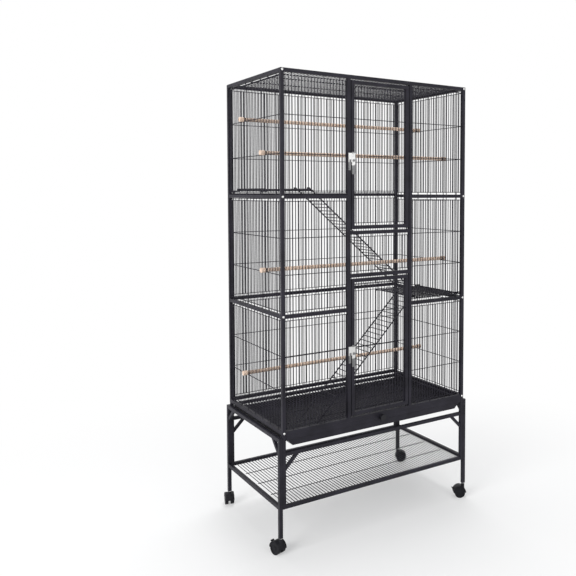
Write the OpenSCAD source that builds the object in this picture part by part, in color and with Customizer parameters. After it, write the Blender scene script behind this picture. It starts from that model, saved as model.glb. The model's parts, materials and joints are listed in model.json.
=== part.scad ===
// Parrot cage on a wheeled stand: tube panels with welded wire mesh, two front doors,
// perches, platforms and ladders inside, a slide-out grate and tray, and a wire shelf.
// Millimetres, +Z up, front towards -Y, origin on the floor under the middle of the cage.

/* [Cage] */
// Width of the cage over its corner posts
cage_w = 800; // [760:5:860]
// Depth of the cage over its corner posts
cage_d = 455; // [435:5:480]
// Height of the underside of the cage's lowest rails above the floor
cage_z = 407; // [400:1:430]
// Clear height between the rails of the bottom tier
bottom_tier_h = 381.5; // [370:0.5:400]
// Clear height between the rails of the middle tier
middle_tier_h = 387.5; // [375:0.5:405]
// Clear height between the rails of the top tier
top_tier_h = 404; // [390:1:425]
// Height of the back panel's three lower rails above the front ones
back_rail_rise = 5.5; // [0:0.5:8]
// Side of the square tube of all frames
tube = 12.5; // [12:0.25:14]

/* [Wire mesh] */
// Diameter of the mesh wires
wire_d = 2.7; // [2:0.1:3]
// Spacing of the upright wires
wire_pitch = 12.25; // [11.5:0.25:13.5]
// Distance of the first and last level wire from the rails
border_inset = 9; // [7:0.5:12]
// Number of level wires in one mesh
level_wires = 4; // [4:1:5]
// One upright wire in this many reaches the rails
reach_every = 5; // [3:1:8]
// Depth that two crossing wires sink into each other where they are welded
weld_bite = 0.4; // [0.3:0.05:0.5]

/* [Doors] */
// Width of both doors over their stiles
door_w = 250.8; // [230:0.2:270]
// Gap between a door and the posts beside it
door_gap = 3.2; // [3:0.1:5]
// Height of the upper door
upper_door_h = 520; // [500:1:530]
// Height of the lower door
lower_door_h = 490; // [470:1:505]
// Gap above each door
head_gap = 5; // [4:0.5:6]
// Gap below each door
sill_gap = 6.5; // [4:0.5:8]
// Diameter of the pivot pins in the right stile
door_pin_d = 5; // [4:0.25:5.25]
// Depth of a pivot pin in the stile and in the rail
door_pin_grip = 8; // [6:0.5:9]

/* [Latches] */
// Height of the upper latch's pivot above the upper door's foot
upper_latch_h = 241; // [150:1:380]
// Height of the lower latch's pivot above the lower door's foot
lower_latch_h = 225; // [150:1:350]
// Length of the latch plates
latch_plate_h = 78; // [72:1:90]
// Width of the latch plates
latch_plate_w = 13; // [12.5:0.5:16]
// Thickness of the latch plates and keepers
latch_plate_t = 2; // [1.5:0.25:3]
// Thickness of the levers
lever_t = 2.6; // [2:0.1:3.5]
// Diameter of the lever's pivot and of the keeper's stud
latch_pin_d = 5; // [4:0.25:5.5]
// Height of the levers above their pivots
lever_rise = 26; // [20:1:30]
// Length of the levers' right-hand end below their pivots
lever_drop = 17; // [14:1:22]
// Reach of the thumb tab in front of the lever
thumb_tab = 6; // [4:0.5:8]
// Diameter of the rivets in the latch plates and keepers
rivet_d = 6; // [5:0.5:7]

/* [Perches] */
// Diameter of the perches
perch_d = 14; // [12:0.5:16]
// Height of a perch's middle above the level wire beside it
perch_lift = 7; // [6:0.5:9]
// Place of the perch at the back near the top, behind the cage's middle
top_back_perch_y = 75; // [50:1:120]
// Place of the perch at the front near the top, in front of the cage's middle
top_front_perch_y = 87; // [50:1:120]
// Place of the middle perch, in front of the cage's middle
middle_perch_y = 87; // [50:1:120]
// Place of the bottom perch, behind the cage's middle
bottom_perch_y = 69; // [50:1:120]
// Diameter of the studs that hold the perches through the side meshes
perch_stud_d = 5; // [4:0.25:5]
// Depth of a perch stud in the wood
perch_stud_grip = 12; // [8:0.5:12]
// Diameter of the wooden knobs outside the side meshes
perch_knob_d = 17; // [15:0.5:20]
// Length of the wooden knobs
perch_knob_l = 16; // [12:0.5:20]

/* [Platforms and ladders] */
// Diameter of the rods that frame platforms and ladders
rod_d = 4.5; // [3.5:0.25:4.5]
// Height of the upper platform's rods above the floor
upper_platform_z = 1230; // [1220:1:1245]
// Height of the lower platform's rods above the floor
lower_platform_z = 820; // [817:1:835]
// Length of the upper platform along the cage
upper_platform_l = 188; // [150:1:230]
// Length of the lower platform along the cage
lower_platform_l = 217; // [180:1:240]
// Distance of the upper platform from the front posts
upper_platform_inset = 152; // [125:1:165]
// Distance of the lower platform from the front posts
lower_platform_inset = 14; // [10:1:30]
// Depth of the upper platform from front to back
upper_platform_d = 225; // [180:1:235]
// Depth of the lower platform from front to back
lower_platform_d = 258; // [220:1:300]
// Drop of the platform hooks behind the mesh
hook_drop = 10; // [6:0.5:14]
// Width of the ladders over the middles of their rails
ladder_w = 104; // [90:1:115]
// Diameter of the rungs
rung_d = 3; // [2:0.1:3.5]
// Spacing of the rungs
rung_pitch = 20; // [15:0.5:30]
// Slope of the upper ladder
upper_ladder_slope = 40.9; // [38:0.1:48]
// Slope of the lower ladder
lower_ladder_slope = 45; // [40:0.5:55]
// Distance of each ladder's front rail from its platform's front rod
ladder_inset = 12; // [8:0.5:16]

/* [Grate and tray] */
// Height of the grate's bars
grate_h = 15.7; // [13:0.1:16]
// Gap between the drawers and the uprights beside them
drawer_gap = 1; // [0.8:0.1:2]
// Depth of the grate's side and back bars, which end level with the front one
grate_side_h = 10.5; // [9:0.5:12]
// Width of the runners' ledges beyond the uprights
ledge_w = 6; // [5:0.5:8]
// Thickness of the runners' sheet
runner_t = 1.2; // [1:0.1:1.4]
// Number of wires across the grate
grate_cross_wires = 3; // [2:1:5]
// Diameter of the pull knob
knob_d = 22; // [16:0.5:26]
// Height of the knob's middle above the grate's underside
knob_rise = 10; // [7:0.5:10]
// Reach of the pull knob in front of the grate
knob_l = 18; // [14:0.5:24]
// Height of the tray's pan under its rim
tray_h = 22.5; // [16:0.5:26]
// Thickness of the tray's walls
tray_wall = 1.6; // [1.2:0.1:2.5]
// Inward lean of the tray's side walls from rim to floor
tray_side_lean = 21; // [8:0.5:26]
// Inward lean of the tray's front and back walls from rim to floor
tray_end_lean = 3; // [2:0.5:8]

/* [Stand] */
// Height of the legs' feet above the floor
leg_z = 57; // [55:0.5:66]
// Distance of the legs' tops below the cage
leg_top_drop = 9; // [8:0.5:11]
// Gap between a leg and the upright beside it
leg_gap = 0.5; // [0.2:0.1:1]
// Distance of the front and back upper rails' tops below the cage
upper_rail_drop = 59; // [52:1:75]
// Height of the tops of the shelf's rails above the floor
shelf_z = 167; // [150:1:220]
// Number of wires across the shelf
shelf_cross_wires = 3; // [2:1:5]
// Length of each side of a corner that a brace spans
brace_reach = 50; // [35:1:60]
// Width of the braces
brace_w = 10.5; // [5:0.5:12]

/* [Casters] */
// Diameter of the caster wheels
wheel_d = 42; // [40:0.5:44]
// Width of one wheel of a pair
wheel_w = 11.5; // [10:0.5:13]
// Thickness of the web between the two wheels
web_t = 8; // [6:0.5:10]
// Distance between a wheel and the web or the hood
wheel_gap = 1.2; // [1:0.1:1.6]
// Thickness of the hood
hood_t = 3; // [2.6:0.1:3.4]
// Distance of the wheels' axle behind the swivel axis
trail = 14; // [12:0.5:18]
// Diameter of the axles
axle_d = 6; // [5:0.25:8]
// Diameter of the caster stems
stem_d = 6; // [5:0.25:6]
// Diameter of the forks' necks
neck_d = 13; // [12:0.5:15]
// Depth of a stem in the leg and in the neck
stem_grip = 9; // [7:0.5:9]
// Direction in which each caster trails at rest: front left
front_left_turn = 105; // [0:1:360]
// Direction in which each caster trails at rest: front right
front_right_turn = 150; // [0:1:360]
// Direction in which each caster trails at rest: back left
back_left_turn = 75; // [0:1:360]
// Direction in which each caster trails at rest: back right
back_right_turn = -33; // [-180:1:180]
// Length of the brake pedals beyond their pins
pedal_l = 11; // [8:0.5:14]
// Width of the brake pedals
pedal_w = 13.6; // [11:0.2:16]

// Depth of the hub dish in the wheels' outer faces
dish_depth = 1; // [0.5:0.25:2]
// Diameter of the hub dish
dish_d = 30; // [26:1:34]
// Diameter of the hub cap in the dish
hub_cap_d = 15; // [10:1:20]

/* [Fits] */
// Gap between bars that are welded end to side
seam = 0.1; // [0.1:0.05:0.2]
// Gap between loose pieces and what carries them
rest_gap = 0.3; // [0.25:0.05:0.5]
// Radial clearance of pins and screws in their bores
pin_fit = 0.05; // [0.03:0.01:0.1]
// Diameter of the screws that join the panels
panel_screw_d = 4; // [3:0.25:4.25]
// Depth of a panel screw in the side rail
panel_screw_grip = 8; // [6:0.5:10]
// Depth left free beyond the end of a pin or screw
bore_relief = 1; // [0.5:0.25:1.5]

/* [Hidden] */

coat = [0.21, 0.21, 0.24];
zinc = [0.72, 0.73, 0.74];
wood = [0.82, 0.70, 0.56];
black = [0.10, 0.10, 0.11];

// Faces of the cage: the corner posts stand between these and the outer size
half_w = cage_w / 2;
half_d = cage_d / 2;
inner_x = half_w - tube;
inner_y = half_d - tube;
front_y = -half_d;
mesh_x = half_w - tube / 2;
mesh_y = half_d - tube / 2;

// Undersides of the four sets of rails, from the bottom up
rail_z = [
    cage_z,
    cage_z + tube + bottom_tier_h,
    cage_z + 2 * tube + bottom_tier_h + middle_tier_h,
    cage_z + 3 * tube + bottom_tier_h + middle_tier_h + top_tier_h
];
cage_top_z = rail_z[3] + tube;
back_rail_z = [for (k = [0:3]) k < 3 ? rail_z[k] + back_rail_rise : rail_z[k]];

// Wires: an octagonal level wire lies with a flat side against the round upright ones
round_fn = 24;
wheel_fn = 64;
flat_fn = 8;
flat_turn = 180 / flat_fn;
mesh_lap = wire_d - weld_bite;
mesh_half = (mesh_lap + wire_d) / 2;
wire_tip_rise = 0.8;
wire_tip = wire_d / 2 + wire_tip_rise;

// Doors
door_z = [rail_z[0] + tube + sill_gap, rail_z[3] - head_gap - upper_door_h];
door_h = [lower_door_h, upper_door_h];
door_post_x = door_w / 2 + door_gap;
hinge_x = door_w / 2 - tube / 2;
hinge_y = front_y + tube / 2;
pin_bore_d = door_pin_d + 2 * pin_fit;
lower_cross_z = door_z[0] + door_h[0] + head_gap;
upper_cross_z = door_z[1] - sill_gap - tube;
side_bay_w = inner_x - door_post_x - tube;

// Heads of the panel screws
panel_head_d = 2 * panel_screw_d;
panel_head_t = 1.8;

// Latches: the stud stands in the middle of the left door post
latch_reach = 15;
stud_x = -door_post_x - tube / 2;
latch_x = stud_x + latch_reach;
latch_z = [door_z[0] + lower_latch_h, door_z[1] + upper_latch_h];
lever_y = front_y - latch_plate_t - rest_gap;
notch_side = 0.6;
notch_inner_side = 2.4;
lever_hook_drop = 6;
lever_reach = 6.5;
lever_tip = 6;
keeper_w = 10;
keeper_tail = 17;
keeper_below = lever_drop + keeper_tail;
rivet_inset = 7;
rivet_step = 10;
latch_plate_below = 48;
rivet_rise = 1.6;
latch_head_d = 9;
latch_head_t = 1.6;

// Perches: place from the cage's middle, tier and level wire of each one
perch_end_x = mesh_x - mesh_half - rest_gap;
perch_seat_x = mesh_x + mesh_half + rest_gap;
perch_places = [
    [top_back_perch_y, 2, 2],
    [-top_front_perch_y, 2, 1],
    [-middle_perch_y, 1, 1],
    [bottom_perch_y, 0, 1]
];

// Platforms: flat-sided rods along the cage carry round wires from front to back.
// flat_r is the distance from a flat side to the middle for a diameter of 1
flat_r = cos(flat_turn) / 2;
platform_wire_z = rod_d * flat_r + wire_d / 2 - weld_bite;
edge_rod_z = rod_d * flat_r + rod_d / 2 - weld_bite;
riser_x = 2 * rod_d;
hook_rod_x = tube / 2 + mesh_half + rest_gap + rod_d / 2;
rung_z = rod_d * flat_r + rung_d / 2 - weld_bite;
ladder_lift = rod_d + rest_gap;
ladder_hook_drop = ladder_lift + edge_rod_z - rod_d * flat_r - rest_gap;
first_rung = 15;

// Drawers: the grate runs on the upper ledges and the tray's rim on the lower ones
drawer_x = inner_x - drawer_gap;
grate_bar = tube;
grate_bar_top = cage_z - rest_gap;
grate_z = grate_bar_top - grate_h;
grate_side_z = grate_bar_top - grate_side_h;
grate_wire_drop = 1;
grate_top = grate_bar_top - grate_wire_drop;
upper_ledge_z = grate_side_z - rest_gap - runner_t;
tray_rim_t = 1.6;
tray_rim_z = grate_z - rest_gap - tray_rim_t;
lower_ledge_z = tray_rim_z - rest_gap - runner_t;
tray_z = tray_rim_z - tray_h;
tray_back = 8;
tray_front = 2;
knob_neck_d = 9;
knob_neck_l = 4;
knob_stud_d = 4;
knob_stud_l = 8;

// Stand
leg_x = half_w + leg_gap;
leg_top_z = cage_z - leg_top_drop;
side_rail_z = leg_top_z - tube;
upper_rail_z = cage_z - upper_rail_drop - tube;
shelf_rail_z = shelf_z - tube;
brace_t = 10;
stem_x = leg_x + tube / 2;
stem_y = mesh_y;

// Casters, drawn with the swivel axis on Z and the wheels behind it along +X
wheel_r = wheel_d / 2;
hood_in_r = wheel_r + wheel_gap;
hood_r = hood_in_r + hood_t;
wheel_in = web_t / 2 + wheel_gap;
wheel_out = wheel_in + wheel_w;
hood_lip = 0.5;
hood_w = 2 * (wheel_out + hood_lip);
washer_h = 1.5;
neck_top = leg_z - washer_h - rest_gap;
hub_d = 18;
neck_root = wheel_r + hood_r / 2;
collar_d = tube - 2 * seam;
pedal_angle = 28;
pedal_t = 2.4;
barrel_d = 4.2;
barrel_r = hood_in_r + hood_t / 2;
pedal_pin_d = 1.8;
pedal_pin_grip = 2.5;
pedal_pin_w = pedal_w + 2 * pedal_pin_grip;
pedal_gap = 0.3;
notch_w = pedal_w + 2 * pedal_gap;
notch_l = 9;
notch_in_r = barrel_r - barrel_d / 2 - pedal_gap;
caster_turn = [front_left_turn, front_right_turn, back_left_turn, back_right_turn];
caster_side = [[-1, -1], [1, -1], [-1, 1], [1, 1]];

// Small allowance by which cutters pass the face they cut
over = 1;

// Heights of the level wires of a mesh between two rails
function level_rows(z1, z2) =
    [for (k = [0:level_wires - 1])
        z1 + border_inset + k * (z2 - z1 - 2 * border_inset) / (level_wires - 1)];

// Rows at equal steps between two bars
function even_rows(a, b, n) = [for (k = [1:n]) a + k * (b - a) / (n + 1)];

function tier_bottom(tier) = rail_z[tier] + tube;
function tier_rows(tier) = level_rows(tier_bottom(tier), rail_z[tier + 1]);

// Level wires of the back panel: the outer ones follow its own rails
function back_rows(tier) = [for (k = [0:level_wires - 1])
    k == 0 ? back_rail_z[tier] + tube + border_inset
        : k == level_wires - 1 ? back_rail_z[tier + 1] - border_inset : tier_rows(tier)[k]];

// Nearest gap between two upright wires of the side meshes
side_pitch = 2 * inner_y / round(2 * inner_y / wire_pitch);
function side_gap(y) = side_pitch * round((y + inner_y) / side_pitch) - inner_y;

// Front and back edges of the platforms, and the edge rods that carry the ladders
upper_platform_y = side_gap(upper_platform_inset - inner_y);
lower_platform_y = side_gap(lower_platform_inset - inner_y);
upper_platform_back = side_gap(upper_platform_inset + upper_platform_d - inner_y);
lower_platform_back = side_gap(lower_platform_inset + lower_platform_d - inner_y);
upper_edge_x = -inner_x + upper_platform_l - rod_d / 2;
lower_edge_x = -inner_x + lower_platform_l - rod_d / 2;
lower_platform_top = lower_platform_z + platform_wire_z + wire_d / 2;

// Level wires of a door: one near each rail, and the tier's own rows where they are clear
row_clear = 27;
function door_rows(z1, z2, tier) = concat(
    [z1 + border_inset],
    [for (z = tier_rows(tier)) if (z > z1 + row_clear && z < z2 - row_clear) z],
    [z2 - border_inset]);

module bar_x(x1, x2, y, z)
    translate([x1, y, z]) cube([x2 - x1, tube, tube]);

module bar_y(x, y1, y2, z)
    translate([x, y1, z]) cube([tube, y2 - y1, tube]);

module bar_z(x, y, z1, z2)
    translate([x, y, z1]) cube([tube, tube, z2 - z1]);

// Round rods and bores along the three axes, each from its first end
module rod_z(d, h, fn = round_fn)
    cylinder(d = d, h = h, $fn = fn);

module rod_x(d, h)
    rotate([0, 90, 0]) cylinder(d = d, h = h, $fn = round_fn);

module rod_y(d, h)
    rotate([-90, 0, 0]) cylinder(d = d, h = h, $fn = round_fn);

module flat_rod_x(d, h)
    rotate([0, 90, 0]) rotate([0, 0, flat_turn]) cylinder(d = d, h = h, $fn = flat_fn);

module flat_rod_z(d, h)
    rotate([0, 0, flat_turn]) cylinder(d = d, h = h, $fn = flat_fn);

// Welded mesh in the XZ plane, outer side towards -Y
module mesh(w, z1, z2, rows, every) {
    count = round(w / wire_pitch);
    pitch = w / count;
    last = rows[len(rows) - 1];
    for (k = [0:count - 1]) {
        reaches = k % every == floor(every / 2);
        low = reaches ? z1 + seam : rows[0] - wire_tip;
        high = reaches ? z2 - seam : last + wire_tip;
        translate([(k + 0.5) * pitch - w / 2, -mesh_lap / 2, low])
            rod_z(wire_d, high - low);
    }
    for (z = rows)
        translate([seam - w / 2, mesh_lap / 2, z])
            flat_rod_x(wire_d, w - 2 * seam);
}

module tier_mesh(w, tier)
    mesh(w, tier_bottom(tier), rail_z[tier + 1], tier_rows(tier), reach_every);

module side_mesh(side, tier)
    color(coat) translate([side * mesh_x, 0, 0]) rotate([0, 0, side * 90])
        tier_mesh(2 * inner_y, tier);

module back_mesh(tier)
    color(coat) translate([0, mesh_y, 0]) rotate([0, 0, 180])
        mesh(2 * inner_x, back_rail_z[tier] + tube, back_rail_z[tier + 1], back_rows(tier),
            reach_every);

module front_mesh(side, tier)
    color(coat)
        translate([side * (door_post_x + tube + side_bay_w / 2), -mesh_y, 0])
            tier_mesh(side_bay_w, tier);

module centre_mesh() {
    low = lower_cross_z + tube;
    color(coat) translate([0, -mesh_y, 0])
        mesh(2 * door_post_x, low, upper_cross_z,
            [low + border_inset, upper_cross_z - border_inset], reach_every);
}

module roof_mesh()
    color(coat) translate([0, 0, cage_top_z - tube / 2]) rotate([-90, 0, 0])
        mesh(2 * inner_x, -inner_y, inner_y, level_rows(-inner_y, inner_y), reach_every);

// Screw holes of the panels, along Y at the middle of every rail
module panel_screw_holes(side, y, l)
    for (z = rail_z)
        translate([side * mesh_x, y, z + tube / 2])
            rod_y(panel_screw_d + 2 * pin_fit, l);

module corner_posts(y)
    for (side = [-1, 1])
        difference() {
            bar_z(side * mesh_x - tube / 2, y, cage_z, cage_top_z);
            panel_screw_holes(side, y - over, tube + 2 * over);
        }

module door_pin_bore(z, up)
    translate([hinge_x, hinge_y, up ? z - over : z - door_pin_grip - bore_relief])
        rod_z(pin_bore_d, door_pin_grip + bore_relief + over);

module front_frame() {
    mid = door_post_x + tube + seam;
    color(coat) {
        corner_posts(front_y);
        difference() {
            bar_x(seam - inner_x, inner_x - seam, front_y, rail_z[0]);
            door_pin_bore(rail_z[0] + tube, false);
        }
        difference() {
            bar_x(seam - inner_x, inner_x - seam, front_y, rail_z[3]);
            door_pin_bore(rail_z[3], true);
        }
        for (side = [-1, 1])
            bar_z(side * (door_post_x + tube / 2) - tube / 2, front_y,
                rail_z[0] + tube + seam, rail_z[3] - seam);
        for (tier = [1, 2]) {
            bar_x(seam - inner_x, -mid, front_y, rail_z[tier]);
            bar_x(mid, inner_x - seam, front_y, rail_z[tier]);
        }
        difference() {
            bar_x(seam - door_post_x, door_post_x - seam, front_y, lower_cross_z);
            door_pin_bore(lower_cross_z, true);
        }
        difference() {
            bar_x(seam - door_post_x, door_post_x - seam, front_y, upper_cross_z);
            door_pin_bore(upper_cross_z + tube, false);
        }
    }
}

module back_frame()
    color(coat) {
        corner_posts(inner_y);
        for (z = back_rail_z)
            bar_x(seam - inner_x, inner_x - seam, inner_y, z);
    }

module side_rails(side)
    color(coat)
        for (z = rail_z)
            difference() {
                bar_y(side * mesh_x - tube / 2, -inner_y, inner_y, z);
                for (end = [-1, 1])
                    translate([side * mesh_x, end * inner_y, z + tube / 2])
                        rotate([end * 90, 0, 0]) translate([0, 0, -over])
                            rod_z(panel_screw_d + 2 * pin_fit,
                                panel_screw_grip + bore_relief + over);
            }

module panel_screws()
    color(zinc)
        for (side = [-1, 1], end = [-1, 1], z = rail_z)
            translate([side * mesh_x, end * half_d, z + tube / 2])
                rotate([end * 90, 0, 0]) {
                    rod_z(panel_screw_d, tube + panel_screw_grip);
                    translate([0, 0, -panel_head_t])
                        rod_z(panel_head_d, panel_head_t);
                }

// Door frame with its pivot pins standing in bores of the right stile
module door_frame(k) {
    z = door_z[k];
    top = z + door_h[k];
    clear_x = door_w / 2 - tube - seam;
    pin_top = top + head_gap + door_pin_grip;
    pin_low = z - sill_gap - door_pin_grip;
    color(coat) {
        bar_z(-door_w / 2, front_y, z, top);
        difference() {
            bar_z(door_w / 2 - tube, front_y, z, top);
            translate([hinge_x, hinge_y, z - over])
                rod_z(pin_bore_d, door_pin_grip + over);
            translate([hinge_x, hinge_y, top - door_pin_grip])
                rod_z(pin_bore_d, door_pin_grip + over);
        }
        bar_x(-clear_x, clear_x, front_y, z);
        bar_x(-clear_x, clear_x, front_y, top - tube);
        translate([hinge_x, hinge_y, pin_low])
            rod_z(door_pin_d, z + door_pin_grip - seam - pin_low);
        translate([hinge_x, hinge_y, top - door_pin_grip + seam])
            rod_z(door_pin_d, pin_top - top + door_pin_grip - seam);
    }
}

module door_mesh(k, tier) {
    low = door_z[k] + tube;
    high = door_z[k] + door_h[k] - tube;
    color(coat) translate([0, -mesh_y, 0])
        mesh(door_w - 2 * tube, low, high, door_rows(low, high, tier), reach_every);
}

// Keeper on the left door post: a strip with a plain stud for the lever's notch
module latch_keepers()
    color(zinc)
        for (z = latch_z) {
            translate([stud_x - keeper_w / 2, front_y - latch_plate_t, z - keeper_below])
                cube([keeper_w, latch_plate_t, keeper_below + lever_rise]);
            translate([stud_x, lever_y - lever_t - over, z])
                rod_y(latch_pin_d, lever_t + over + rest_gap + latch_plate_t / 2);
            for (rise = [rivet_inset, rivet_inset + rivet_step])
                translate([stud_x, front_y - latch_plate_t - rivet_rise,
                        z - keeper_below + rise])
                    rod_y(rivet_d, rivet_rise + latch_plate_t / 2);
        }

// Plate on the door's left stile, with the lever's pivot and its head
module latch_plate(k) {
    z = latch_z[k];
    low = z - latch_plate_below;
    color(zinc) {
        translate([-door_w / 2, front_y - latch_plate_t, low])
            cube([latch_plate_w, latch_plate_t, latch_plate_h]);
        translate([latch_x, lever_y - lever_t - rest_gap - over / 2, z])
            rod_y(latch_pin_d, lever_t + 2 * rest_gap + over / 2 + latch_plate_t / 2);
        translate([latch_x, lever_y - lever_t - rest_gap - latch_head_t, z])
            rod_y(latch_head_d, latch_head_t);
        for (rise = [rivet_inset, rivet_inset + rivet_step])
            translate([-door_w / 2 + tube / 2, front_y - latch_plate_t - rivet_rise, low + rise])
                rod_y(rivet_d, rivet_rise + latch_plate_t / 2);
    }
}

// Lever's outline from its pivot: the left end hooks over the stud from above
module lever_outline() {
    stud_r = latch_pin_d / 2;
    reach = latch_reach;
    shoulder = reach / 2;
    difference() {
        union() {
            translate([-reach - lever_tip, -lever_hook_drop])
                square([reach + lever_tip + lever_reach, lever_rise + lever_hook_drop]);
            translate([-shoulder, -lever_drop])
                square([shoulder + lever_reach - lever_tip, lever_drop]);
            translate([lever_reach - lever_tip, -lever_drop + lever_tip])
                circle(r = lever_tip, $fn = round_fn);
            translate([0, -lever_drop + lever_tip])
                square([lever_reach, lever_drop - lever_tip]);
        }
        circle(d = latch_pin_d + 2 * pin_fit, $fn = round_fn);
        translate([-reach - stud_r - notch_side, -lever_hook_drop - over])
            square([2 * stud_r + notch_side + notch_inner_side,
                lever_hook_drop + stud_r + notch_side + over]);
    }
}

module latch_lever(k)
    color(zinc)
        translate([latch_x, lever_y, latch_z[k]]) {
            rotate([90, 0, 0])
                linear_extrude(lever_t) lever_outline();
            translate([-lever_tip, -lever_t - thumb_tab, lever_rise - lever_t])
                cube([lever_tip + lever_reach, thumb_tab + over / 2, lever_t]);
        }

function perch_y(k) = side_gap(perch_places[k][0]);
function perch_z(k) = tier_rows(perch_places[k][1])[perch_places[k][2]] + perch_lift;

module perch(k)
    color(wood) translate([0, perch_y(k), perch_z(k)])
        difference() {
            translate([-perch_end_x, 0, 0]) rod_x(perch_d, 2 * perch_end_x);
            for (side = [0, 1])
                mirror([side, 0, 0])
                    translate([perch_end_x - perch_stud_grip - bore_relief, 0, 0])
                        rod_x(perch_stud_d + 2 * pin_fit,
                            perch_stud_grip + bore_relief + over);
        }

// Knobs outside the side meshes, each with a stud through the mesh into the perch's end
module perch_knobs()
    color(wood)
        for (k = [0:3], side = [0, 1])
            translate([0, perch_y(k), perch_z(k)]) mirror([side, 0, 0]) {
                translate([perch_end_x - perch_stud_grip, 0, 0])
                    rod_x(perch_stud_d, perch_seat_x - perch_end_x + perch_stud_grip
                        + perch_knob_l / 2);
                translate([perch_seat_x, 0, 0]) rod_x(perch_knob_d, perch_knob_l);
            }

// Platform from the side mesh inwards, drawn at the left: hooks pass through two gaps
module platform(length, y1, y2, z, row_z) {
    crest = row_z + wire_d / 2 + rod_d / 2 + rest_gap;
    low = min(z, crest) - rod_d / 2;
    high = max(z, crest) + rod_d / 2;
    wires = round((length - rod_d) / wire_pitch);
    pitch = (length - rod_d - rest_gap) / wires;
    translate([-inner_x, 0, 0]) {
        for (y = [y1, (y1 + y2) / 2, y2])
            translate([rest_gap, y, z]) flat_rod_x(rod_d, length - rest_gap);
        for (k = [0:wires]) {
            edge = k == 0 || k == wires;
            d = edge ? rod_d : wire_d;
            rise = edge ? edge_rod_z : platform_wire_z;
            out = edge ? rod_d / 2 : 0;
            translate([rest_gap + rod_d / 2 + k * pitch, y1 - out, z + rise])
                rod_y(d, y2 - y1 + 2 * out);
        }
        for (y = [y1, y2]) {
            translate([riser_x, y, low]) flat_rod_z(rod_d, high - low);
            translate([-hook_rod_x, y, crest]) flat_rod_x(rod_d, hook_rod_x + riser_x);
            translate([-hook_rod_x, y, crest - hook_drop])
                flat_rod_z(rod_d, hook_drop + rod_d / 2);
        }
    }
}

module upper_platform()
    color(coat)
        platform(upper_platform_l, upper_platform_y, upper_platform_back,
            upper_platform_z, tier_rows(2)[0]);

module lower_platform()
    color(coat) mirror([1, 0, 0])
        platform(lower_platform_l, lower_platform_y, lower_platform_back,
            lower_platform_z, tier_rows(1)[0]);

// Ladder hooked on a platform's edge rod and sloping down towards +X to its foot.
// Each rail meets a level rod over the edge rod, and a hook drops behind it
module ladder(edge_x, edge_z, foot_z, slope, y) {
    top_x = edge_x + ladder_lift * sin(slope);
    top_z = edge_z + ladder_lift * cos(slope);
    bend = ladder_lift * tan(slope / 2);
    head = bend + rod_d / 4;
    length = (top_z - foot_z) / sin(slope);
    rungs = floor((length - first_rung) / rung_pitch);
    translate([top_x, y, top_z]) rotate([0, slope, 0]) {
        for (side = [0, ladder_w])
            translate([-head, side, 0]) flat_rod_x(rod_d, length + head);
        for (k = [0:rungs - 1])
            translate([first_rung + k * rung_pitch, -rod_d / 2, rung_z])
                rod_y(rung_d, ladder_w + rod_d);
    }
    for (side = [0, ladder_w])
        translate([edge_x, y + side, edge_z + ladder_lift]) {
            translate([-ladder_lift - rod_d / 2, 0, 0])
                rod_x(rod_d, ladder_lift + rod_d / 2 + bend);
            translate([-ladder_lift, 0, -ladder_hook_drop])
                flat_rod_z(rod_d, ladder_hook_drop + rod_d / 4);
        }
}

module upper_ladder()
    color(coat)
        ladder(upper_edge_x, upper_platform_z + edge_rod_z,
            lower_platform_top + rod_d / 2 + rest_gap,
            upper_ladder_slope, upper_platform_y + ladder_inset);

module lower_ladder()
    color(coat) mirror([1, 0, 0])
        ladder(lower_edge_x, lower_platform_z + edge_rod_z,
            grate_top + rod_d / 2 + rest_gap,
            lower_ladder_slope, lower_platform_y + ladder_inset);

// Runner on each side: a web on the stand's side rail with two ledges
module drawer_runners() {
    web_x = half_w - seam;
    ledge_x = inner_x - ledge_w;
    web_top = max(leg_top_z, upper_ledge_z + runner_t);
    run = inner_y - seam;
    color(zinc)
        for (side = [0, 1])
            mirror([side, 0, 0]) {
                translate([web_x - runner_t, -run, lower_ledge_z])
                    cube([runner_t, 2 * run, web_top - lower_ledge_z]);
                for (z = [lower_ledge_z, upper_ledge_z])
                    translate([ledge_x, -run, z])
                        cube([web_x - ledge_x - runner_t / 2, 2 * run, runner_t]);
            }
}

module floor_grate() {
    clear_x = drawer_x - grate_bar - seam;
    back = inner_y - seam;
    wire_z = grate_top - wire_d / 2;
    color(coat) {
        difference() {
            translate([-drawer_x, front_y, grate_z])
                cube([2 * drawer_x, grate_bar, grate_h]);
            translate([0, front_y - over, grate_z + knob_rise])
                rod_y(knob_stud_d + 2 * pin_fit, knob_stud_l + over + bore_relief);
        }
        translate([-drawer_x, back - grate_bar, grate_side_z])
            cube([2 * drawer_x, grate_bar, grate_side_h]);
        for (side = [0, 1])
            mirror([side, 0, 0])
                translate([drawer_x - grate_bar, front_y + grate_bar + seam, grate_side_z])
                    cube([grate_bar, back - front_y - 2 * grate_bar - 2 * seam, grate_side_h]);
        translate([0, (front_y + back) / 2, wire_z - mesh_lap / 2]) rotate([-90, 0, 0]) {
            half = (back - front_y) / 2 - grate_bar;
            mesh(2 * clear_x, -half, half, even_rows(-half, half, grate_cross_wires), 1);
        }
    }
}

module grate_knob()
    color(black)
        translate([0, front_y - knob_l, grate_z + knob_rise]) {
            rod_y(knob_d, knob_l - knob_neck_l);
            rod_y(knob_neck_d, knob_l);
            rod_y(knob_stud_d, knob_l + knob_stud_l);
        }

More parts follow.
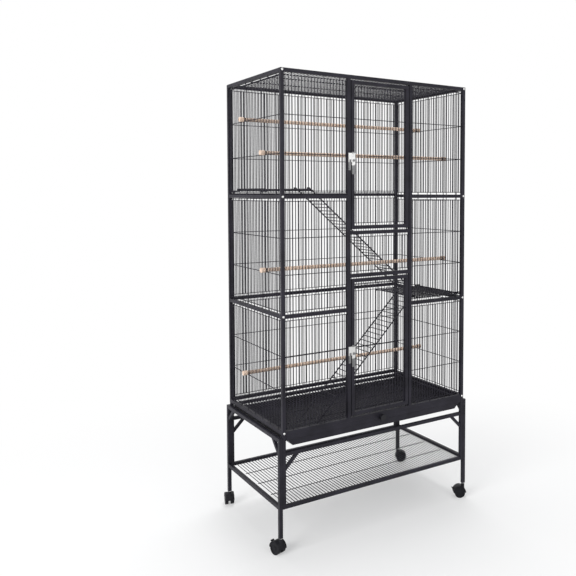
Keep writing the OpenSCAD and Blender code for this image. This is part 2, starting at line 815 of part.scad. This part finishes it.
// Sloping pan as the crossing of two extruded trapezoids
module pan(top_x, top_y1, top_y2, z1, z2, side_lean, end_lean) {
    mid_y = (top_y1 + top_y2) / 2;
    half_y = (top_y2 - top_y1) / 2;
    foot_x = top_x - side_lean;
    foot_y = half_y - end_lean;
    intersection() {
        translate([0, top_y2, 0]) rotate([90, 0, 0]) linear_extrude(top_y2 - top_y1)
            polygon([[-top_x, z2], [top_x, z2], [foot_x, z1], [-foot_x, z1]]);
        translate([-top_x, mid_y, 0]) rotate([90, 0, 90]) linear_extrude(2 * top_x)
            polygon([[-half_y, z2], [half_y, z2], [foot_y, z1], [-foot_y, z1]]);
    }
}

module tray() {
    rim_top = tray_rim_z + tray_rim_t;
    back = inner_y - tray_back;
    pan_x = inner_x - ledge_w - drawer_gap;
    pan_front = front_y + tray_front;
    pan_back = back - tray_back;
    share = (tray_h - tray_wall) / tray_h;
    color(coat)
        difference() {
            union() {
                translate([-drawer_x, front_y, tray_rim_z])
                    cube([2 * drawer_x, back - front_y, tray_rim_t]);
                pan(pan_x, pan_front, pan_back, tray_z, tray_rim_z + tray_rim_t / 2,
                    tray_side_lean, tray_end_lean);
            }
            pan(pan_x - tray_wall, pan_front + tray_wall, pan_back - tray_wall,
                tray_z + tray_wall, rim_top + over, tray_side_lean * share,
                tray_end_lean * share);
        }
}

// Corner brace in the XZ plane: the corner is at the origin, the brace below it to +X
module brace() {
    reach = brace_reach;
    skew = brace_w * sqrt(2);
    translate([seam, brace_t / 2, -seam]) rotate([90, 0, 0]) linear_extrude(brace_t)
        polygon([[0, -reach], [reach, 0], [reach - skew, 0], [0, skew - reach]]);
}

module stand_side_frame(side) {
    color(coat)
        translate([side > 0 ? leg_x : -leg_x - tube, 0, 0]) {
            for (y = [front_y, inner_y])
                difference() {
                    bar_z(0, y, leg_z, leg_top_z);
                    translate([tube / 2, y + tube / 2, leg_z - over])
                        rod_z(stem_d + 2 * pin_fit, stem_grip + over);
                }
            for (z = [side_rail_z, shelf_rail_z])
                bar_y(0, seam - inner_y, inner_y - seam, z);
            for (end = [-1, 1])
                translate([tube / 2, end * inner_y, side_rail_z])
                    rotate([0, 0, -end * 90]) brace();
        }
}

module stand_end_frame(y)
    color(coat) {
        for (side = [-1, 1])
            bar_z(side * mesh_x - tube / 2, y, shelf_rail_z, cage_z);
        for (z = [upper_rail_z, shelf_rail_z])
            bar_x(seam - inner_x, inner_x - seam, y, z);
        for (side = [0, 1])
            mirror([side, 0, 0])
                translate([-inner_x, y + tube / 2, upper_rail_z]) brace();
    }

module stand_shelf()
    color(coat) translate([0, 0, shelf_z - tube / 2]) rotate([-90, 0, 0])
        mesh(2 * inner_x, -inner_y, inner_y, even_rows(-inner_y, inner_y, shelf_cross_wires), 1);

module at_caster(k)
    translate([caster_side[k][0] * stem_x, caster_side[k][1] * stem_y, 0])
        rotate([0, 0, caster_turn[k]]) children();

module caster_stems()
    color(zinc)
        for (k = [0:3])
            at_caster(k) {
                translate([0, 0, neck_top - stem_grip])
                    rod_z(stem_d, leg_z - neck_top + 2 * stem_grip - seam);
                translate([0, 0, leg_z - washer_h]) rod_z(collar_d, washer_h);
            }

// Cylinder across the caster, centred on the wheels' axle
module across(r, w)
    translate([trail, w / 2, wheel_r]) rotate([90, 0, 0]) cylinder(r = r, h = w, $fn = wheel_fn);

// Hooded fork: a web between the wheels, a hood over them and a neck for the stem
module caster_fork(k)
    color(black) at_caster(k)
        difference() {
            union() {
                intersection() {
                    across(hood_r, hood_w);
                    translate([trail - hood_r - over, -hood_w, wheel_r])
                        cube([2 * hood_r + 2 * over, 2 * hood_w, 2 * hood_r]);
                }
                across(hub_d / 2, web_t);
                translate([0, 0, neck_root]) rod_z(neck_d, neck_top - neck_root);
            }
            for (side = [-1, 1])
                translate([0, side * (web_t / 2 + wheel_out), 0])
                    across(hood_in_r, 2 * wheel_out);
            across(axle_d / 2 + pin_fit, 2 * hood_w);
            translate([0, 0, neck_top - stem_grip - bore_relief])
                rod_z(stem_d + 2 * pin_fit, stem_grip + bore_relief + over);
            if (k < 2) brake_notch();
        }

// Frame of the brake: origin on its pin, +X straight out from the axle
module at_brake()
    translate([trail, 0, wheel_r]) rotate([0, -pedal_angle, 0])
        translate([barrel_r, 0, 0]) children();

module brake_notch()
    at_brake() {
        translate([notch_in_r - barrel_r, -notch_w / 2, -notch_l / 2])
            cube([hood_r, notch_w, notch_l]);
        translate([0, -pedal_pin_w / 2 - pedal_gap, 0])
            rod_y(pedal_pin_d + 2 * pin_fit, pedal_pin_w + 2 * pedal_gap);
    }

module brake(k)
    color(black) at_caster(k) at_brake() {
        translate([0, -pedal_w / 2, 0]) rod_y(barrel_d, pedal_w);
        translate([0, -pedal_pin_w / 2, 0]) rod_y(pedal_pin_d, pedal_pin_w);
        translate([0, -pedal_w / 2, -pedal_t / 2]) cube([pedal_l, pedal_w, pedal_t]);
    }

// Wheel pair on one axle, each outer face dished round a hub cap
module caster_wheels(k)
    color(black) at_caster(k)
        difference() {
            union() {
                across(axle_d / 2, 2 * wheel_out);
                for (side = [-1, 1])
                    translate([0, side * (wheel_in + wheel_w / 2), 0]) across(wheel_r, wheel_w);
            }
            for (side = [-1, 1])
                translate([0, side * wheel_out, 0])
                    difference() {
                        across(dish_d / 2, 2 * dish_depth);
                        across(hub_cap_d / 2, 4 * dish_depth);
                    }
        }

front_frame();
back_frame();
side_rails(-1);  // left_side_rails
side_rails(1);  // right_side_rails
side_mesh(-1, 2);  // left_mesh_top
side_mesh(-1, 1);  // left_mesh_middle
side_mesh(-1, 0);  // left_mesh_bottom
side_mesh(1, 2);  // right_mesh_top
side_mesh(1, 1);  // right_mesh_middle
side_mesh(1, 0);  // right_mesh_bottom
back_mesh(2);  // back_mesh_top
back_mesh(1);  // back_mesh_middle
back_mesh(0);  // back_mesh_bottom
front_mesh(-1, 2);  // front_left_mesh_top
front_mesh(-1, 1);  // front_left_mesh_middle
front_mesh(-1, 0);  // front_left_mesh_bottom
front_mesh(1, 2);  // front_right_mesh_top
front_mesh(1, 1);  // front_right_mesh_middle
front_mesh(1, 0);  // front_right_mesh_bottom
centre_mesh();
roof_mesh();
panel_screws();
latch_keepers();
door_frame(1);  // upper_door
door_mesh(1, 2);  // upper_door_mesh
latch_plate(1);  // upper_latch_plate
latch_lever(1);  // upper_latch_lever
door_frame(0);  // lower_door
door_mesh(0, 0);  // lower_door_mesh
latch_plate(0);  // lower_latch_plate
latch_lever(0);  // lower_latch_lever
perch(0);  // top_back_perch
perch(1);  // top_front_perch
perch(2);  // middle_perch
perch(3);  // bottom_perch
perch_knobs();
upper_platform();
lower_platform();
upper_ladder();
lower_ladder();
drawer_runners();
floor_grate();
grate_knob();
tray();
stand_side_frame(-1);  // stand_left_frame
stand_side_frame(1);  // stand_right_frame
stand_end_frame(front_y);  // stand_front_frame
stand_end_frame(inner_y);  // stand_back_frame
stand_shelf();
caster_stems();
caster_fork(0);  // front_left_fork
caster_fork(1);  // front_right_fork
caster_fork(2);  // back_left_fork
caster_fork(3);  // back_right_fork
caster_wheels(0);  // front_left_wheels
caster_wheels(1);  // front_right_wheels
caster_wheels(2);  // back_left_wheels
caster_wheels(3);  // back_right_wheels
brake(0);  // front_left_brake
brake(1);  // front_right_brake
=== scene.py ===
import json
import math

import bmesh
import bpy
from mathutils import Matrix, Vector

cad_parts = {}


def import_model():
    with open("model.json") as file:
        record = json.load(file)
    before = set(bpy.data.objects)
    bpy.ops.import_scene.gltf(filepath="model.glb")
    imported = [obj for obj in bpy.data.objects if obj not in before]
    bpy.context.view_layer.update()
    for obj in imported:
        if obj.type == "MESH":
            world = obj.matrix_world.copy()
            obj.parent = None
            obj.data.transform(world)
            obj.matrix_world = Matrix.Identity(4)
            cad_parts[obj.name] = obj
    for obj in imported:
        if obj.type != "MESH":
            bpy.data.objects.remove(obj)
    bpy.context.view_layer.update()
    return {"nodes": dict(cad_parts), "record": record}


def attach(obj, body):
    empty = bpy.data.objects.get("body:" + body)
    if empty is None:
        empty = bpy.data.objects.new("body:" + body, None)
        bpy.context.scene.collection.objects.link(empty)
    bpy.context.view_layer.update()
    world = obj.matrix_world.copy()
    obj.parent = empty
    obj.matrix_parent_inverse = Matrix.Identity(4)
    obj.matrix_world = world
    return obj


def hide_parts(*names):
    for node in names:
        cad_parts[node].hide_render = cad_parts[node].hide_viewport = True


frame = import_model()
NODES = frame["nodes"]

# Camera, fitted to the cage's edges
CAMERA_PLACE = Vector((-1.421153, -2.264703, 1.221317))
CAMERA_YAW = math.radians(33.45568)
CAMERA_PITCH = math.radians(2.90533)
IMAGE_SIZE = 576
FOCAL_PIXELS = 687.606
PRINCIPAL_POINT = (363.70593, 227.48624)
SENSOR = 36.0

# Finishes, linear colours
COAT_DARK = (0.012, 0.0112, 0.0158, 1)
COAT_LIGHT = (0.022, 0.0205, 0.0290, 1)
ZINC_DARK = (0.46, 0.46, 0.46, 1)
ZINC_LIGHT = (0.76, 0.76, 0.75, 1)
DULL_ZINC_DARK = (0.12, 0.12, 0.125, 1)
DULL_ZINC_LIGHT = (0.24, 0.24, 0.245, 1)
DULL_NODES = ("latch_keepers", "upper_latch_plate", "lower_latch_plate", "drawer_runners")
WOOD_DARK = (0.56, 0.41, 0.30, 1)
WOOD_MIDDLE = (0.69, 0.53, 0.43, 1)
WOOD_LIGHT = (0.79, 0.64, 0.53, 1)
BLACK_DARK = (0.007, 0.007, 0.009, 1)
BLACK_LIGHT = (0.014, 0.014, 0.017, 1)

# Edge rounding of the square tubes, the tray, the latches, the casters and the turned knobs
TUBE_EDGE = 0.0012
TRAY_EDGE = 0.0004
LATCH_EDGE = 0.0004
CASTER_EDGE = 0.0009
KNOB_EDGE = 0.0022

# Edges sharper than this are rounded or stay creased, in degrees
ROUND_ANGLE = 50
SMOOTH_ANGLE = 30

# Vertices of a node closer than this are one, because its faces come apart
WELD_DISTANCE = 0.00001

# Panel screws: height of the head and length of the shank
SCREW_HEAD = 0.0018
SCREW_SHANK = 0.018

# Distances from the cage's middle between which the floor fades to white
FADE_START = 0.45
FADE_END = 1.8

# Floor: its half width, its grey, and the share of white in it under the cage
FLOOR_REACH = 14
FLOOR_GREY = (0.80, 0.80, 0.80, 1)
FLOOR_GLOW = 0.36

# Light of the surroundings
WORLD_LIGHT = (0.96, 0.98, 1, 1)
WORLD_STRENGTH = 0.45


class Nodes:
    """A material's node tree with short helpers"""

    def __init__(self, name):
        self.material = bpy.data.materials.new(name)
        self.material.use_nodes = True
        self.tree = self.material.node_tree
        self.shader = self.tree.nodes["Principled BSDF"]
        self.place = self.add("ShaderNodeTexCoord").outputs["Object"]

    def add(self, kind, **values):
        node = self.tree.nodes.new(kind)
        for key, value in values.items():
            setattr(node, key, value)
        return node

    def link(self, source, target):
        self.tree.links.new(source, target)

    def stretch(self, scale):
        """The place, scaled along each axis"""
        node = self.add("ShaderNodeMapping")
        node.inputs["Scale"].default_value = scale
        self.link(self.place, node.inputs["Vector"])
        return node.outputs["Vector"]

    def noise(self, scale, detail, rough=0.5, vector=None):
        """Soft noise at the place, or at another vector"""
        node = self.add("ShaderNodeTexNoise")
        node.inputs["Scale"].default_value = scale
        node.inputs["Detail"].default_value = detail
        node.inputs["Roughness"].default_value = rough
        self.link(vector or self.place, node.inputs["Vector"])
        return node.outputs["Fac"]

    def spangle(self, scale):
        """Distance from the nearest of many scattered points"""
        node = self.add("ShaderNodeTexVoronoi")
        node.inputs["Scale"].default_value = scale
        self.link(self.place, node.inputs["Vector"])
        return node.outputs["Distance"]

    def ramp(self, value, *stops):
        """A colour ramp with stops of position and colour"""
        node = self.add("ShaderNodeValToRGB")
        elements = node.color_ramp.elements
        while len(elements) < len(stops):
            elements.new(0.5)
        for element, (position, colour) in zip(elements, stops):
            element.position = position
            element.color = colour
        self.link(value, node.inputs["Fac"])
        return node.outputs["Color"]

    def span(self, value, low, high, start=0.0, end=1.0):
        """The value from start to end becomes low to high"""
        node = self.add("ShaderNodeMapRange")
        node.inputs["From Min"].default_value = start
        node.inputs["From Max"].default_value = end
        node.inputs["To Min"].default_value = low
        node.inputs["To Max"].default_value = high
        self.link(value, node.inputs["Value"])
        return node.outputs["Result"]

    def mix(self, factor, first, second, blend="MIX"):
        """Two colours, each a constant or a socket, mixed by a number or a socket"""
        node = self.add("ShaderNodeMix", data_type="RGBA", blend_type=blend)
        if isinstance(factor, float):
            node.inputs["Factor"].default_value = factor
        else:
            self.link(factor, node.inputs["Factor"])
        for socket, value in ((node.inputs[6], first), (node.inputs[7], second)):
            if isinstance(value, tuple):
                socket.default_value = value
            else:
                self.link(value, socket)
        return node.outputs[2]

    def bump(self, height, distance, strength, under=None):
        """A normal from a height in metres, over another normal if one is given"""
        node = self.add("ShaderNodeBump")
        node.inputs["Distance"].default_value = distance
        node.inputs["Strength"].default_value = strength
        self.link(height, node.inputs["Height"])
        if under is not None:
            self.link(under, node.inputs["Normal"])
        return node.outputs["Normal"]

    def set(self, **values):
        """Numbers on the shader's own sockets, with spaces for underscores"""
        for key, value in values.items():
            self.shader.inputs[key.replace("_", " ")].default_value = value

    def wire(self, name, source):
        """Joins a socket to one of the shader's own sockets"""
        self.link(source, self.shader.inputs[name])


def coat_material():
    """Charcoal powder coat: a fine orange peel, tiny flecks and slightly worn patches"""
    n = Nodes("coat")
    cloud = n.noise(14.0, 3.0)
    fleck = n.noise(2600.0, 2.0, 0.7)
    base = n.ramp(cloud, (0.35, COAT_DARK), (0.7, COAT_LIGHT))
    specks = n.ramp(fleck, (0.62, (0, 0, 0, 1)), (0.72, (0.03, 0.03, 0.033, 1)))
    n.wire("Base Color", n.mix(0.5, base, specks, "ADD"))
    n.wire("Roughness", n.span(n.noise(60.0, 3.0), 0.40, 0.54, 0.3, 0.7))
    peel = n.noise(900.0, 3.0, 0.55)
    n.wire("Normal", n.bump(peel, 0.00025, 0.5))
    n.set(Specular_IOR_Level=0.15)
    return n.material


def zinc_material(name, dark, light):
    """Zinc plate with faint drawn lines and dull spangles"""
    n = Nodes(name)
    lines = n.noise(90.0, 4.0, 0.6, n.stretch((14, 14, 1)))
    streaks = n.ramp(lines, (0.3, dark), (0.7, light))
    n.wire("Base Color", n.mix(n.span(n.spangle(260.0), 0.0, 0.5), streaks, light))
    n.wire("Roughness", n.span(lines, 0.26, 0.42, 0.3, 0.7))
    n.wire("Normal", n.bump(lines, 0.00008, 0.5))
    n.set(Metallic=1.0)
    return n.material


def wood_material():
    """Plain turned hardwood: long grain along the perch, pores and pale streaks"""
    n = Nodes("wood")
    grain = n.noise(55.0, 6.0, 0.62, n.stretch((0.5, 6, 6)))
    pores = n.noise(420.0, 3.0, 0.6, n.stretch((0.12, 3, 3)))
    tone = n.noise(5.0, 2.0)
    base = n.ramp(grain, (0.30, WOOD_DARK), (0.5, WOOD_MIDDLE), (0.68, WOOD_LIGHT))
    dark = n.ramp(pores, (0.32, (0.55, 0.42, 0.33, 1)), (0.45, (1, 1, 1, 1)))
    tint = n.ramp(tone, (0.3, (0.93, 0.9, 0.86, 1)), (0.7, (1, 1, 1, 1)))
    n.wire("Base Color", n.mix(1.0, n.mix(0.6, base, dark, "MULTIPLY"), tint, "MULTIPLY"))
    n.wire("Roughness", n.span(grain, 0.5, 0.68, 0.3, 0.7))
    n.wire("Normal", n.bump(pores, 0.0002, 0.6, n.bump(grain, 0.0003, 0.4)))
    return n.material


def black_material(name, rough, scale, gloss):
    """Moulded black plastic with a fine spark texture"""
    n = Nodes(name)
    grain = n.noise(scale, 3.0, 0.6)
    wear = n.noise(40.0, 4.0, 0.6)
    n.wire("Base Color", n.ramp(wear, (0.35, BLACK_DARK), (0.75, BLACK_LIGHT)))
    n.wire("Roughness", n.span(wear, rough - 0.06, rough + 0.08, 0.3, 0.7))
    n.wire("Normal", n.bump(grain, 0.00015, 0.45))
    n.set(Specular_IOR_Level=gloss)
    return n.material


def dress():
    """Gives every CAD node the material of its slot in the record"""
    made = {
        "coat": coat_material(),
        "zinc": zinc_material("zinc", ZINC_DARK, ZINC_LIGHT),
        "wood": wood_material(),
        "black_plastic": black_material("black_plastic", 0.42, 1400.0, 0.12),
    }
    for part in frame["record"]["subparts"]:
        node = NODES[part["node"]]
        node.data.materials.clear()
        node.data.materials.append(made[part["material_slot"]])
    dull = zinc_material("dull_zinc", DULL_ZINC_DARK, DULL_ZINC_LIGHT)
    for name in DULL_NODES:
        NODES[name].data.materials[0] = dull
    NODES["grate_knob"].data.materials[0] = black_material("polished_black", 0.2, 300.0, 0.25)
    return made


def round_edges(node, width, segments):
    """Softens a node's sharp edges"""
    weld = node.modifiers.new("weld", "WELD")
    weld.merge_threshold = WELD_DISTANCE
    bevel = node.modifiers.new("bevel", "BEVEL")
    bevel.width = width
    bevel.segments = segments
    bevel.limit_method = "ANGLE"
    bevel.angle_limit = math.radians(ROUND_ANGLE)


def solids(node):
    """Lowest and highest corner of each separate solid of a CAD node"""
    mesh = NODES[node].data
    places = {}
    for vertex in mesh.vertices:
        places.setdefault(tuple(round(c, 5) for c in vertex.co), len(places))
    keys = [places[tuple(round(c, 5) for c in vertex.co)] for vertex in mesh.vertices]
    parent = list(range(len(places)))

    def root(k):
        while parent[k] != k:
            parent[k] = parent[parent[k]]
            k = parent[k]
        return k

    for face in mesh.polygons:
        first = root(keys[face.vertices[0]])
        for index in face.vertices[1:]:
            parent[root(keys[index])] = first
    groups = {}
    for place, k in places.items():
        groups.setdefault(root(k), []).append(place)
    boxes = [(Vector(map(min, *points)), Vector(map(max, *points))) for points in groups.values()]
    return sorted(boxes, key=lambda box: tuple(box[0]))


def turned(profile, segments):
    """Mesh turned about Z from (radius, height) points, closed at points of radius 0"""
    made = bmesh.new()
    rings = []
    for radius, height in profile:
        if radius == 0:
            rings.append([made.verts.new((0, 0, height))])
        else:
            rings.append([made.verts.new((radius * math.cos(t), radius * math.sin(t), height))
                          for t in (2 * math.pi * k / segments for k in range(segments))])
    for below, above in zip(rings, rings[1:]):
        for k in range(segments):
            j = (k + 1) % segments
            corners = [below[k % len(below)], below[j % len(below)],
                       above[j % len(above)], above[k % len(above)]]
            made.faces.new(list(dict.fromkeys(corners)))
    return made


def press_cross(made, half_width, reach, depth, top):
    """Sinks a cross-shaped recess into the top of a head"""
    for vertex in made.verts:
        x, y, z = vertex.co
        near, far = sorted((abs(x), abs(y)))
        if z > top - depth / 2 and near < half_width and far < reach:
            vertex.co.z = top - depth


def pan_screw(radius, height):
    """Domed screw head with a cross recess, seated at height 0"""
    rings = 14
    profile = [(0, 0), (radius * 0.96, 0), (radius, height * 0.12)]
    for k in range(1, rings + 1):
        share = 1 - k / rings
        profile.append((radius * share, height * (0.12 + 0.88 * math.sqrt(1 - share ** 2))))
    profile[-1] = (0, height)
    made = turned(profile, 72)
    press_cross(made, radius * 0.16, radius * 0.52, height * 0.55, height)
    return made


def piece(name, made, material, body):
    """Adds a finished mesh to the scene and lets it ride on a body"""
    bmesh.ops.recalc_face_normals(made, faces=made.faces)
    mesh = bpy.data.meshes.new(name)
    made.to_mesh(mesh)
    made.free()
    mesh.shade_smooth()
    mesh.set_sharp_from_angle(angle=math.radians(SMOOTH_ANGLE))
    mesh.materials.append(material)
    added = bpy.data.objects.new(name, mesh)
    bpy.context.scene.collection.objects.link(added)
    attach(added, body)
    return added


def merged(parts):
    """One mesh from (mesh, matrix) pairs"""
    total = bmesh.new()
    for made, matrix in parts:
        made.transform(matrix)
        mesh = bpy.data.meshes.new("part")
        made.to_mesh(mesh)
        made.free()
        total.from_mesh(mesh)
        bpy.data.meshes.remove(mesh)
    return total


def aimed(place, direction):
    """Matrix that carries the origin to a place and Z to a direction"""
    turn = Vector(direction).to_track_quat("Z", "Y").to_matrix().to_4x4()
    return Matrix.Translation(place) @ turn


def panel_screws(material):
    """A cross-headed pan screw at each end of every side rail"""
    parts = []
    for low, high in solids("panel_screws"):
        front = low.y < 0
        middle = (low + high) / 2
        radius = (high.x - low.x) / 2
        seat = (middle.x, low.y + SCREW_HEAD if front else high.y - SCREW_HEAD, middle.z)
        away = -1 if front else 1
        shank = [(0, 0), (radius / 2, 0), (radius / 2, SCREW_SHANK), (0, SCREW_SHANK)]
        parts.append((pan_screw(radius, SCREW_HEAD), aimed(seat, (0, away, 0))))
        parts.append((turned(shank, 24), aimed(seat, (0, -away, 0))))
    screws = piece("panel_screw_set", merged(parts), material, "cage")
    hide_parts("panel_screws")


TUBE_NODES = ["front_frame", "back_frame", "left_side_rails", "right_side_rails", "upper_door",
              "lower_door", "stand_left_frame", "stand_right_frame", "stand_front_frame",
              "stand_back_frame"]
LATCH_NODES = ["latch_keepers", "upper_latch_plate", "upper_latch_lever", "lower_latch_plate",
               "lower_latch_lever"]
CASTER_NODES = [f"{end}_{side}_{part}" for end in ("front", "back") for side in ("left", "right")
                for part in ("fork", "wheels")]

# Nodes whose edges are rounded, with the width and the number of facets
ROUNDED = [
    (TUBE_NODES, TUBE_EDGE, 2),
    (["tray"], TRAY_EDGE, 2),
    (LATCH_NODES, LATCH_EDGE, 2),
    (CASTER_NODES, CASTER_EDGE, 2),
    (["perch_knobs", "grate_knob"], KNOB_EDGE, 4),
]


def camera():
    """Camera at the photograph's place, with its shift"""
    data = bpy.data.cameras.new("camera")
    data.sensor_width = SENSOR
    data.lens = FOCAL_PIXELS / IMAGE_SIZE * SENSOR
    data.shift_x = (IMAGE_SIZE / 2 - PRINCIPAL_POINT[0]) / IMAGE_SIZE
    data.shift_y = (PRINCIPAL_POINT[1] - IMAGE_SIZE / 2) / IMAGE_SIZE
    data.clip_start = 0.05
    data.clip_end = 60
    view = bpy.data.objects.new("camera", data)
    view.location = CAMERA_PLACE
    view.rotation_euler = (math.pi / 2 - CAMERA_PITCH, 0, -CAMERA_YAW)
    bpy.context.scene.collection.objects.link(view)
    bpy.context.scene.camera = view


def seen_directly(tree):
    """1 for camera, glossy and transmission rays, else 0"""
    path = tree.nodes.new("ShaderNodeLightPath")
    total = path.outputs["Is Camera Ray"]
    for name in ("Is Glossy Ray", "Is Transmission Ray"):
        node = tree.nodes.new("ShaderNodeMath")
        node.operation = "MAXIMUM"
        tree.links.new(total, node.inputs[0])
        tree.links.new(path.outputs[name], node.inputs[1])
        total = node.outputs[0]
    return total


def world():
    """White where it is seen, a plain pale grey as light"""
    made = bpy.data.worlds.new("studio")
    made.use_nodes = True
    tree = made.node_tree
    tree.nodes.clear()
    seen = tree.nodes.new("ShaderNodeBackground")
    seen.inputs["Color"].default_value = (1, 1, 1, 1)
    light = tree.nodes.new("ShaderNodeBackground")
    light.inputs["Color"].default_value = WORLD_LIGHT
    light.inputs["Strength"].default_value = WORLD_STRENGTH
    mix = tree.nodes.new("ShaderNodeMixShader")
    out = tree.nodes.new("ShaderNodeOutputWorld")
    tree.links.new(seen_directly(tree), mix.inputs[0])
    tree.links.new(light.outputs[0], mix.inputs[1])
    tree.links.new(seen.outputs[0], mix.inputs[2])
    tree.links.new(mix.outputs[0], out.inputs[0])
    bpy.context.scene.world = made


def floor():
    """Pale floor that keeps the shadow near the cage and fades to white away from it"""
    mesh = bpy.data.meshes.new("floor")
    reach = FLOOR_REACH
    corners = [(-reach, -reach, 0), (reach, -reach, 0), (reach, reach, 0), (-reach, reach, 0)]
    mesh.from_pydata(corners, [], [(0, 1, 2, 3)])
    slab = bpy.data.objects.new("floor", mesh)
    bpy.context.scene.collection.objects.link(slab)
    made = bpy.data.materials.new("floor")
    made.use_nodes = True
    tree = made.node_tree
    tree.nodes.clear()
    diffuse = tree.nodes.new("ShaderNodeBsdfDiffuse")
    diffuse.inputs["Color"].default_value = FLOOR_GREY
    glow = tree.nodes.new("ShaderNodeEmission")
    glow.inputs["Color"].default_value = (1, 1, 1, 1)
    place = tree.nodes.new("ShaderNodeTexCoord")
    distance = tree.nodes.new("ShaderNodeVectorMath")
    distance.operation = "LENGTH"
    fade = tree.nodes.new("ShaderNodeMapRange")
    fade.interpolation_type = "SMOOTHSTEP"
    fade.inputs["From Min"].default_value = FADE_START
    fade.inputs["From Max"].default_value = FADE_END
    fade.inputs["To Min"].default_value = FLOOR_GLOW
    share = tree.nodes.new("ShaderNodeMath")
    share.operation = "MULTIPLY"
    total = tree.nodes.new("ShaderNodeMixShader")
    out = tree.nodes.new("ShaderNodeOutputMaterial")
    tree.links.new(place.outputs["Object"], distance.inputs[0])
    tree.links.new(distance.outputs["Value"], fade.inputs["Value"])
    tree.links.new(fade.outputs["Result"], share.inputs[0])
    tree.links.new(seen_directly(tree), share.inputs[1])
    tree.links.new(share.outputs[0], total.inputs[0])
    tree.links.new(diffuse.outputs[0], total.inputs[1])
    tree.links.new(glow.outputs[0], total.inputs[2])
    tree.links.new(total.outputs[0], out.inputs[0])
    mesh.materials.append(made)


def lamp(name, place, target, size, power):
    """Soft square lamp that points at the target"""
    data = bpy.data.lights.new(name, "AREA")
    data.shape = "SQUARE"
    data.size = size
    data.energy = power
    light = bpy.data.objects.new(name, data)
    light.location = place
    light.rotation_euler = (Vector(target) - Vector(place)).to_track_quat("-Z", "Y").to_euler()
    bpy.context.scene.collection.objects.link(light)


def lights():
    """Three soft lamps: from the left, from the front and from above"""
    middle = (0, 0, 0.8)
    lamp("left", (-4.2, -1.4, 2.2), middle, 2.6, 170)
    lamp("front", (0.4, -4.6, 2.4), middle, 3.0, 70)
    lamp("top", (0.6, 1.0, 4.6), (0, 0, 0), 2.4, 120)


camera()
world()
lights()
floor()
finish = dress()
panel_screws(finish["zinc"])
for names, width, segments in ROUNDED:
    for name in names:
        round_edges(NODES[name], width, segments)
bpy.context.scene.view_settings.view_transform = "Standard"
